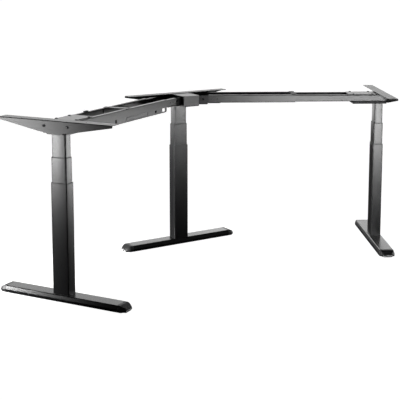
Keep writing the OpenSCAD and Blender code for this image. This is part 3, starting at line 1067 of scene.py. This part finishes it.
@dataclass
class Drive:
    """The parts inside a column that turn or are climbed: drawn with their threads.

    Attributes:
        leg: The leg.
        pitch: Pitch of the threads as drawn, coarser than real so that they show.
        depth: Depth of the threads.
    """

    leg: Leg
    pitch: float = 4.0
    depth: float = 1.0

    def threaded(self, place: Place, low: float, high: float, radius: float, bore: float) -> Blank:
        """A rod or tube with rounded thread rings on it.

        Args:
            place: The column's frame.
            low: Height of its lower end.
            high: Height of its upper end.
            radius: Outer radius.
            bore: Radius of the hole through it; 0 makes a rod.

        Returns:
            The shape.
        """
        blank = Blank(place)
        count = max(2, int((high - low) / (self.pitch / 2)))
        outlines = []
        for i in range(count + 1):
            groove = self.depth if i % 2 else 0.0
            z = low + (high - low) * i / count
            outlines.append((z, circle_outline(radius - groove, 28)))
        if bore:
            inner = circle_outline(bore, 28)
            blank.stack([(low, inner), *outlines, (high, inner)], loop=True)
        else:
            blank.stack(outlines)
        return blank

    def build(self, shop: Workshop) -> None:
        """Makes the fixed screw and the hollow screw.

        Args:
            shop: The workshop.
        """
        word, place = self.leg.word, column_place(self.leg)
        low, high = span_mm(f"{word}_fixed_screw", 2)
        screw = self.threaded(place, low + 6, high, 7.0, 0)
        screw.stack([(low, circle_outline(14, 28)), (low + 6, circle_outline(14, 28))])
        shop.piece(f"{word}_fixed_screw_rolled", screw, Slot.STEEL, f"{word}_fixed_screw", 0)
        low, high = span_mm(f"{word}_screw_tube", 2)
        hollow = self.threaded(place, low + 18, high, 12.0, 7.6)
        hollow.stack([(low, circle_outline(7.6, 28)), (low, circle_outline(12, 28)),
                      (low + 18, circle_outline(12, 28)), (low + 18, circle_outline(7.6, 28))], loop=True)
        shop.piece(f"{word}_screw_tube_rolled", hollow, Slot.STEEL, f"{word}_screw_tube", 0)


# Heads and arms ------------------------------------------------------------------------------------


@dataclass
class Bracket:
    """Desktop bracket: a sheet bent along its top, tapered towards both ends.

    Attributes:
        leg: The leg.
        length: Length of the bracket.
        tip: Height of its ends.
        middle: Height beside the column.
        tab: Half the width of the deepest part.
        tab_drop: Depth of the deepest part.
        inner: Distance from the column's centre to the upright plate.
        flange: Width of the top flange.
        sheet: Thickness of the sheet.
        bend: Outer radius of the bend.
        setback: Distance that it sits behind the column.
        screw_at: Half the distance between its two screws.
        seat_holes: Half the distances between the pairs of desktop holes.
    """

    leg: Leg
    length: float = 590.0
    tip: float = 11.0
    middle: float = 50.0
    tab: float = 40.0
    tab_drop: float = 60.0
    inner: float = 38.0
    flange: float = 55.0
    sheet: float = 2.5
    bend: float = 4.0
    setback: float = 9.0
    screw_at: float = 60.0
    seat_holes: tuple[float, ...] = (270.0, 150.0)

    def __post_init__(self) -> None:
        """The corner's bracket is centred, and its screws go into the narrow tray."""
        if self.leg is Leg.CORNER:
            self.setback, self.screw_at = 0.0, 30.0

    def section(self, top: float, drop: float, tip_y: float) -> list[Point]:
        """Bent outline across the bracket.

        Args:
            top: Height of the flange's upper face.
            drop: Height of the upright plate at this place.
            tip_y: y of the flange's free edge.

        Returns:
            Points in y and z.
        """
        out, under = self.inner + self.sheet, top - self.sheet
        corners = [(tip_y, top), (out, top), (out, top - drop), (self.inner, top - drop),
                   (self.inner, under), (tip_y, under)]
        return fillet(corners, [0, self.bend, 0, 0, self.bend - self.sheet, 0])

    def build(self, shop: Workshop) -> None:
        """Makes the bracket with its holes.

        Args:
            shop: The workshop.
        """
        node = f"{self.leg.word}_bracket"
        place = column_place(self.leg)
        top = span_mm(node, 2)[1]
        half, tip_y = self.length / 2, self.inner + self.sheet - self.flange
        profile = [
            (half, self.tip, 6.0), (half - 6, self.tip + 1, 0.0), (2 * self.tab, self.middle, 0.0),
            (self.tab + 6, self.middle + 3, 0.0), (self.tab - 6, self.tab_drop, 0.0),
        ]
        stations = [(-x, drop, cut) for x, drop, cut in profile] + profile[::-1]
        blank = Blank(place)
        blank.along_x([(x - self.setback, self.section(top, drop, tip_y + cut)) for x, drop, cut in stations])
        for side in (-1, 1):
            screw = (side * self.screw_at, self.inner + self.sheet / 2, top - 24)
            blank.cut(drill(place, screw, SCREW_HOLE, 12, "y"))
            for reach in self.seat_holes:
                seat = (side * reach - self.setback, tip_y + self.flange / 2, top - self.sheet / 2)
                blank.cut(drill(place, seat, SCREW_HOLE, 12, "z"))
        shop.piece(f"{self.leg.word}_desktop_bracket", blank, Slot.BRACKET, node, 0.5)


@dataclass
class RailPair:
    """Front and rear rail of one arm: C-sections with rounded bends.

    Attributes:
        node: The CAD node.
        leg: The arm's end column.
        start: Near end along the arm.
        end: Far end along the arm.
        web: Half the width over the webs.
        height: Height of the section.
        top: Height of its upper face.
        lip: Width of the flanges.
        sheet: Thickness of the sheet.
        bend: Outer radius of the bends.
        tab: Width of the end tab; 0 for none.
        tab_screw: Height of the end tab's screw.
        cuts: Gives the cutters of the rail on a side, in the arm's frame.
    """

    node: str
    leg: Leg
    start: float
    end: float
    web: float
    height: float
    top: float
    lip: float = 18.0
    sheet: float = 2.5
    bend: float = 4.0
    tab: float = 0.0
    tab_screw: float = 784.0
    cuts: Callable[[Place, int], Iterable[Blank]] = field(default=lambda place, side: ())

    def section(self, side: int) -> list[Point]:
        """C-shaped outline across the rail.

        Args:
            side: 1 for the rear rail and -1 for the front one.

        Returns:
            Points in y and z.
        """
        y, s, top, low = self.web, self.sheet, self.top, self.top - self.height
        corners = [(y, top), (y, low), (y - self.lip, low), (y - self.lip, low + s), (y - s, low + s),
                   (y - s, top - s), (y - self.lip, top - s), (y - self.lip, top)]
        inner = self.bend - s
        rounded = fillet(corners, [self.bend, self.bend, 0, 0, inner, inner, 0, 0])
        return [(side * a, b) for a, b in rounded]

    def build(self, shop: Workshop) -> None:
        """Makes the front and the rear rail.

        Args:
            shop: The workshop.
        """
        place = arm_place(self.leg)
        for side, name in ((-1, "front"), (1, "rear")):
            rail = Blank(place)
            rail.along_x([(self.start, self.section(side)), (self.end, self.section(side))])
            if self.tab:
                face = self.web - self.sheet
                edges = sorted((side * (face - 0.1), side * (self.web - self.tab)))
                rail.block((self.end - self.sheet, edges[0], self.top - self.height + self.sheet + 0.1),
                           (self.end, edges[1], self.top - self.sheet - 0.1))
                rail.cut(drill(place, (self.end, side * (self.web - 7), self.tab_screw), SCREW_HOLE, 16, "x"))
            for cutter in self.cuts(place, side):
                rail.cut(cutter)
            shop.piece(f"{self.node[:-1]}_{name}", rail, Slot.RAIL, self.node, 0.4)


@dataclass
class Arms:
    """Both arms' rails, the strap and the clip across them, and the small cable clip.

    Attributes:
        end: Far end of the rails that are screwed to the end columns.
        reach: Distance from the corner column to an end column.
        rail_top: Height of the outer rails' upper faces.
        leg_web: Half the width over the webs of the rails on an end column's side.
        screw_z: Height of the link plates' screws.
        low_row: Height of the row of holes in the left rails.
        link_screws: Places of the link plates' screws along the arm.
    """

    end: float = 1088.0
    reach: float = 1050.0
    rail_top: float = 803.0
    leg_web: float = 67.0
    screw_z: float = 783.0
    low_row: float = 757.0
    link_screws: tuple[float, ...] = (172.0, 200.0)

    def plate_holes(self, place: Place, side: int) -> Iterable[Blank]:
        """Holes for the top plate's screws.

        Args:
            place: The arm's frame.
            side: 1 for the rear rail and -1 for the front one.

        Yields:
            The cutters.
        """
        for s in (self.reach - 40, self.reach - 138):
            yield drill(place, (s, side * (self.leg_web - 15), self.rail_top), SCREW_HOLE, 20, "z")

    def link_holes(self, place: Place, side: int) -> Iterable[Blank]:
        """Holes for the screws of the hub's link plates.

        Args:
            place: The arm's frame.
            side: 1 for the rear rail and -1 for the front one.

        Yields:
            The cutters.
        """
        for s in self.link_screws:
            yield drill(place, (s, side * self.leg_web, self.screw_z), SCREW_HOLE, 24, "y")

    def left_outer_cuts(self, place: Place, side: int) -> Iterable[Blank]:
        """Cuts of the tall left rails: windows, holes, a pressed panel and the cropped lower corner.

        Args:
            place: The arm's frame.
            side: 1 for the rear rail and -1 for the front one.

        Yields:
            The cutters.
        """
        yield from self.plate_holes(place, side)
        yield drill(place, (352, side * self.leg_web, self.low_row), SCREW_HOLE, 20, "y")
        wedge = Blank(place)
        face = side * (self.leg_web + 3)
        tip = side * (self.leg_web - 22)
        wedge.loft([[(241, y, 740), (250, y, 740), (241, y, 750)] for y in (face, tip)])
        yield wedge
        crop = Blank(place)
        low, tray = self.rail_top - 62, 752.0
        outline = [(860, low - 5), (860, low), (900, tray), (self.end + 5, tray), (self.end + 5, low - 5)]
        crop.loft([[(s, y, z) for s, z in outline] for y in (side * (self.leg_web + 3), side * 30)])
        yield crop
        if side == 1:
            return
        near, far = -self.leg_web - 2, -self.leg_web + 4
        yield punch(place, (260, near, self.low_row - 9), (288, far, self.low_row + 9))
        yield punch(place, (706, near, self.low_row - 8), (721, far, self.low_row + 9))
        yield drill(place, (802, near, self.low_row), 4.5, 20, "y")
        floor, groove = -self.leg_web + 1.6, 2.2
        for low, high in ((-9, -9 + groove), (9 - groove, 9)):
            yield punch(place, (428, near, self.low_row + low), (622, floor, self.low_row + high))
        foot, head = self.low_row - 9 + groove, self.low_row + 9 - groove
        for start in (428, 622 - groove):
            yield punch(place, (start, near, foot), (start + groove, floor, head))

    def rail_pairs(self) -> list[RailPair]:
        """The four pairs of rails.

        Returns:
            The pairs.
        """
        left, right, end, tab = Leg.LEFT, Leg.RIGHT, self.end, 15
        return [
            RailPair("left_outer_rails", left, 242, end, 67, 62, 803, tab=tab, cuts=self.left_outer_cuts),
            RailPair("left_inner_rails", left, 140, 620, 64, 37, 800, cuts=self.link_holes),
            RailPair("right_outer_rails", right, 156, 605, 70, 40, 803, cuts=self.link_holes),
            RailPair("right_inner_rails", right, 340, end, 67, 34, 800, tab=tab, cuts=self.plate_holes),
        ]

    def build(self, shop: Workshop) -> None:
        """Makes the rails, strap and clips.

        Args:
            shop: The workshop.
        """
        for pair in self.rail_pairs():
            pair.build(shop)
        self.build_strap(shop)
        self.build_rail_clip(shop)
        self.build_cable_clip(shop)
        self.build_shade_plugs(shop)

    def build_shade_plugs(self, shop: Workshop) -> None:
        """Makes two black rubber pieces in holes of the left arm's front rail, one square and one round:
        painted shade for the dark inside of the holes.

        Args:
            shop: The workshop.
        """
        place, face = arm_place(Leg.LEFT), -self.leg_web
        square = Blank(place)
        square.block((706.2, face - 0.6, self.low_row - 7.8), (720.8, face + 2.2, self.low_row + 8.8))
        shop.extra("left_rail_square_shade_plug", square, Slot.RUBBER, "left_outer_rails", 0.8)
        rounded = Blank(place)
        rings = [(4.4, 2.2), (4.4, -0.1), (6.0, -0.1), (6.0, -0.9), (4.6, -1.6)]
        rounded.loft([
            [(802 + a, face + y, self.low_row + b) for a, b in circle_outline(r, 28)] for r, y in rings
        ])
        shop.extra("left_rail_round_shade_plug", rounded, Slot.RUBBER, "left_outer_rails", 0)

    def build_strap(self, shop: Workshop) -> None:
        """Makes the flat strap across the left rails.

        Args:
            shop: The workshop.
        """
        strap = Blank(arm_place(Leg.LEFT))
        outline = [(601 + x, y) for x, y in box_outline(28, 134, 5)]
        strap.stack([(803, outline), (805.5, outline)])
        # Dressed in the plate coat, whose paler colour is a painted highlight
        shop.piece("left_strap_plate", strap, Slot.PLATE, "left_cross_strap", 0.5)

    def build_rail_clip(self, shop: Workshop) -> None:
        """Makes the ribbed clip across the right rails.

        Args:
            shop: The workshop.
        """
        clip = Blank(arm_place(Leg.RIGHT))
        outline = [(601 + x, y) for x, y in box_outline(28, 140, 3)]
        clip.stack([(803, outline), (804, outline)])
        ribs, pitch = 13, 10.4
        for i in range(ribs):
            y = (i - (ribs - 1) / 2) * pitch
            bar = [(601 + x, y + dy) for x, dy in box_outline(26, 4.4, 2)]
            clip.stack([(803.9, bar), (805.5, bar)])
        # Dressed in the plate coat, whose paler colour is a painted highlight
        shop.piece("right_rail_clip_ribbed", clip, Slot.PLATE, "right_rail_clip", 0.3)

    def build_cable_clip(self, shop: Workshop) -> None:
        """Makes the small moulded cable clip on the left rear rail.

        Args:
            shop: The workshop.
        """
        clip = Blank(arm_place(Leg.LEFT))
        outline = [(770 + x, 60 + y) for x, y in box_outline(27, 14, 2)]
        clip.stack([(803, outline), (807.5, outline)])
        shop.extra("left_cable_clip", clip, Slot.NYLON, "left_outer_rails", 0.6)


@dataclass
class Head:
    """Top plate and gear motor of one column.

    Attributes:
        leg: The leg.
        near: Edge beside the desktop bracket.
        corner: Radius of the plate's far corners.
    """

    leg: Leg
    near: float = 38.0
    corner: float = 8.0

    def build(self, shop: Workshop) -> None:
        """Makes the top plate and the motor.

        Args:
            shop: The workshop.
        """
        word, place = self.leg.word, column_place(self.leg)
        low, high = span_mm(f"{word}_top_plate", 2)
        corner = self.leg is Leg.CORNER
        half, far = (48.0, 130.0) if corner else (56.0, 165.0)
        outline = fillet([(-half, -far), (half, -far), (half, self.near), (-half, self.near)],
                         [self.corner, self.corner, 0, 0])
        plate = Blank(place)
        plate.stack([(low, outline), (high, outline)])
        if not corner:
            for x in (-52, 52):
                for y in (-40, -138):
                    plate.cut(drill(place, (x, y, low), SCREW_HOLE, 12, "z"))
        shop.piece(f"{word}_cover_plate", plate, Slot.PLATE, f"{word}_top_plate", 0.5)
        self.build_motor(shop, place)

    def build_motor(self, shop: Workshop, place: Place) -> None:
        """Makes the gear motor: a stepped gearbox, and a can with a rolled end.

        Args:
            shop: The workshop.
            place: The column's frame.
        """
        node = f"{self.leg.word}_gear_motor"
        low, high = span_mm(node, 2)
        motor = Blank(place)
        size = [(low, 0.8), (low + 3, 0.0), (high - 14, 0.0), (high - 13, 2.0), (high - 3, 2.0), (high, 4.0)]
        motor.stack([(z, box_outline(60 - 2 * inset, 64 - 2 * inset, 7)) for z, inset in size])
        centre = low + 22
        can = [(-31, 20.0), (-36, 21.0), (-40, 21.0), (-41, 20.2), (-100, 20.2), (-101, 21.0), (-112, 21.0),
               (-115.5, 18.5), (-116, 8.0)]
        motor.loft([[(x, y, centre + z) for x, z in circle_outline(r, 40)] for y, r in can])
        shop.piece(f"{node}_housing", motor, Slot.MOTOR, node, 0.4)


# Stage ---------------------------------------------------------------------------------------------


@dataclass
class Studio:
    """Camera, floor and soft lights.

    Attributes:
        back: Distance from the corner column to the camera, along the floor, in metres.
        bearing: Direction from the corner column to the camera, in degrees from +x.
        height: Height of the camera.
        heading: Direction that the camera looks in, in degrees from +x.
        tilt: Angle below level, in degrees.
        lens: Focal length in millimetres on a 36 mm sensor.
        rise: Vertical shift of the lens.
        backdrop: Brightness of the backdrop in reflections.
        bounce: Share of it that lights matt surfaces.
        ceiling: Share of it overhead.
        below: Share of it below the horizon.
        floor_glow: Brightness that the floor has by itself.
    """

    back: float = 5.122
    bearing: float = 238.725
    height: float = 1.450
    heading: float = 57.459
    tilt: float = 8.727
    lens: float = 88.92
    rise: float = -0.2
    backdrop: float = 2.9
    bounce: float = 0.02
    ceiling: float = 0.0
    below: float = 0.0
    floor_glow: float = 1.0

    def camera(self) -> None:
        """Makes the camera."""
        data = bpy.data.cameras.new("camera")
        data.lens, data.shift_y, data.sensor_width = self.lens, self.rise, 36.0
        thing = bpy.data.objects.new("camera", data)
        bpy.context.scene.collection.objects.link(thing)
        bearing = math.radians(self.bearing)
        spot = column_centre(Leg.CORNER) + Vector((math.cos(bearing), math.sin(bearing), 0)) * self.back
        thing.location = (spot.x, spot.y, self.height)
        heading, tilt = math.radians(self.heading), math.radians(self.tilt)
        level = math.cos(tilt)
        look = Vector((math.cos(heading) * level, math.sin(heading) * level, -math.sin(tilt)))
        thing.rotation_euler = look.to_track_quat("-Z", "Y").to_euler()
        bpy.context.scene.camera = thing

    def floor(self) -> None:
        """Makes the plain pale floor.

        It glows up to plain white, and bounced and mirrored rays miss it, so that it throws no light back at
        the black coat from below.
        """
        data = bpy.data.meshes.new("floor")
        reach = 120.0
        data.from_pydata([(-reach, -reach, 0), (reach, -reach, 0), (reach, reach, 0), (-reach, reach, 0)], [],
                         [(0, 1, 2, 3)])
        thing = bpy.data.objects.new("floor", data)
        bpy.context.scene.collection.objects.link(thing)
        material = bpy.data.materials.new("matt_white_floor")
        material.use_nodes = True
        shader = material.node_tree.nodes["Principled BSDF"]
        shader.inputs["Base Color"].default_value = linear("#a0a0a0")
        shader.inputs["Roughness"].default_value = 0.9
        shader.inputs["Specular IOR Level"].default_value = 0.0
        shader.inputs["Emission Color"].default_value = linear("#ffffff")
        shader.inputs["Emission Strength"].default_value = self.floor_glow
        data.materials.append(material)
        thing.visible_glossy = False
        thing.visible_diffuse = False

    @staticmethod
    def ramp(tree: bpy.types.NodeTree, value: Socket, source: Point, result: Point) -> Socket:
        """Adds a smooth step between two levels.

        Args:
            tree: The tree that gets the node.
            value: The value that drives it.
            source: Values at which the step starts and ends.
            result: Levels before and after it.

        Returns:
            The node's output.
        """
        levels = {"From Min": source[0], "From Max": source[1], "To Min": result[0], "To Max": result[1]}
        smooth = {"interpolation_type": "SMOOTHSTEP"}
        return add_node(tree, "ShaderNodeMapRange", smooth, levels, {"Value": value}).outputs["Result"]

    @staticmethod
    def product(tree: bpy.types.NodeTree, first: Socket, second: Socket) -> Socket:
        """Multiplies two values.

        Args:
            tree: The tree that gets the node.
            first: One value.
            second: The other value.

        Returns:
            The node's output.
        """
        times = add_node(tree, "ShaderNodeMath", settings={"operation": "MULTIPLY"})
        tree.links.new(first, times.inputs[0])
        tree.links.new(second, times.inputs[1])
        return times.outputs[0]

    def world(self) -> None:
        """Makes the surroundings: a white wall behind the desk that ends above eye height, else dark."""
        world = bpy.data.worlds.new("studio")
        bpy.context.scene.world = world
        world.use_nodes = True
        tree = world.node_tree
        place = add_node(tree, "ShaderNodeTexCoord").outputs["Generated"]
        height = add_node(tree, "ShaderNodeSeparateXYZ", links={"Vector": place}).outputs["Z"]
        heading = math.radians(self.heading)
        turned = add_node(
            tree, "ShaderNodeVectorMath", settings={"operation": "DOT_PRODUCT"}, links={"Vector": place}
        )
        turned.inputs[1].default_value = (math.cos(heading), math.sin(heading), 0)
        foot = self.ramp(tree, height, (-0.02, 0.04), (self.below, 1.0))
        head = self.ramp(tree, height, (0.25, 0.5), (1.0, self.ceiling))
        ahead = self.ramp(tree, turned.outputs["Value"], (0.5, 0.85), (0.05, 1.0))
        wall = self.product(tree, ahead, self.product(tree, foot, head))
        path = add_node(tree, "ShaderNodeLightPath").outputs
        share = add_node(
            tree,
            "ShaderNodeMapRange",
            values={"To Min": self.backdrop, "To Max": self.backdrop * self.bounce},
            links={"Value": path["Is Diffuse Ray"]},
        ).outputs["Result"]
        strength = add_node(
            tree,
            "ShaderNodeMapRange",
            values={"To Max": 1.0},
            links={"Value": path["Is Camera Ray"], "To Min": self.product(tree, share, wall)},
        )
        back = tree.nodes["Background"]
        back.inputs["Color"].default_value = (1, 1, 1, 1)
        tree.links.new(strength.outputs[0], back.inputs["Strength"])

    def softbox(
        self, name: str, centre: Vector, bearing: float, distance: float, heights: Point, width: float,
        power: float, spread: float, shift: float = 0.0, aim: float | None = None,
    ) -> None:
        """Makes one soft light with a grid, which keeps its beam narrow.

        Args:
            name: Its name.
            centre: The place on the floor that it faces.
            bearing: Direction from there to the light, in degrees from +x.
            distance: Distance to the light in metres.
            heights: Heights of its lower and upper edge.
            width: Its width.
            power: Its power in watts.
            spread: Angle of its beam in degrees.
            shift: Distance that it stands to the right of that direction, seen from the light.
            aim: Height that it is turned towards; none keeps it level.
        """
        data = bpy.data.lights.new(name, "AREA")
        low, high = heights
        data.shape, data.size, data.size_y = "RECTANGLE", width, high - low
        data.energy, data.spread = power, math.radians(spread)
        thing = bpy.data.objects.new(name, data)
        bpy.context.scene.collection.objects.link(thing)
        turn = math.radians(bearing)
        out, side = Vector((math.cos(turn), math.sin(turn), 0)), Vector((-math.sin(turn), math.cos(turn), 0))
        middle = (low + high) / 2
        thing.location = centre + out * distance + side * shift + Vector((0, 0, middle))
        drop = 0.0 if aim is None else (aim - middle) / distance
        thing.rotation_euler = (-out + Vector((0, 0, drop))).to_track_quat("-Z", "Y").to_euler()
        thing.visible_camera = False

    def lights(self) -> None:
        """Places the lights: gridded softboxes level with the columns' upper halves, and one overhead."""
        corner, left, right = (column_centre(leg) for leg in (Leg.CORNER, Leg.LEFT, Leg.RIGHT))
        self.softbox("left_grid", left, 176, 1.6, (0.34, 0.85), 1.0, 4.2, 30, -0.50)
        self.softbox("front_grid", corner, 301, 2.4, (0.50, 0.85), 1.2, 1.3, 26)
        self.softbox("right_grid", right, 251, 2.0, (0.26, 0.78), 1.5, 4.2, 38, -0.08)
        self.softbox("side_grid", left, 356, 2.5, (0.05, 0.50), 1.0, 1.7, 40)
        self.softbox("rear_grid", right, 73, 2.0, (0.35, 0.80), 0.8, 0.3, 60)
        self.softbox("far_grid", corner, 121, 2.0, (0.40, 0.85), 0.8, 0.6, 40)
        self.softbox("foot_strip", left, 171, 1.4, (0.34, 0.62), 0.5, 5, 34, -0.45, 0.03)
        data = bpy.data.lights.new("overhead", "AREA")
        data.shape, data.size, data.size_y, data.energy = "RECTANGLE", 3.4, 2.4, 3
        thing = bpy.data.objects.new("overhead", data)
        bpy.context.scene.collection.objects.link(thing)
        thing.location = (0, 0, 2.8)
        thing.visible_camera = False

    def build(self) -> None:
        """Makes everything that isn't part of the desk frame."""
        bpy.context.scene.view_settings.view_transform = "Standard"
        self.camera()
        self.floor()
        self.world()
        self.lights()


def main() -> None:
    """Builds the desk frame's visible pieces and the studio around them."""
    logging.basicConfig(level=logging.INFO, format="%(name)s: %(message)s")
    studio = Studio()
    studio.build()
    LOG.info("studio ready")
    shop = Workshop()
    for leg in Leg:
        for part in (Foot(leg), Column(leg), Drive(leg), Bracket(leg), Head(leg)):
            part.build(shop)
            LOG.info("%s %s built", leg.word, type(part).__name__.lower())
    Arms().build(shop)
    LOG.info("arms built")
    shop.dress_cad()
    LOG.info("CAD nodes dressed")


if __name__ == "__main__":
    main()
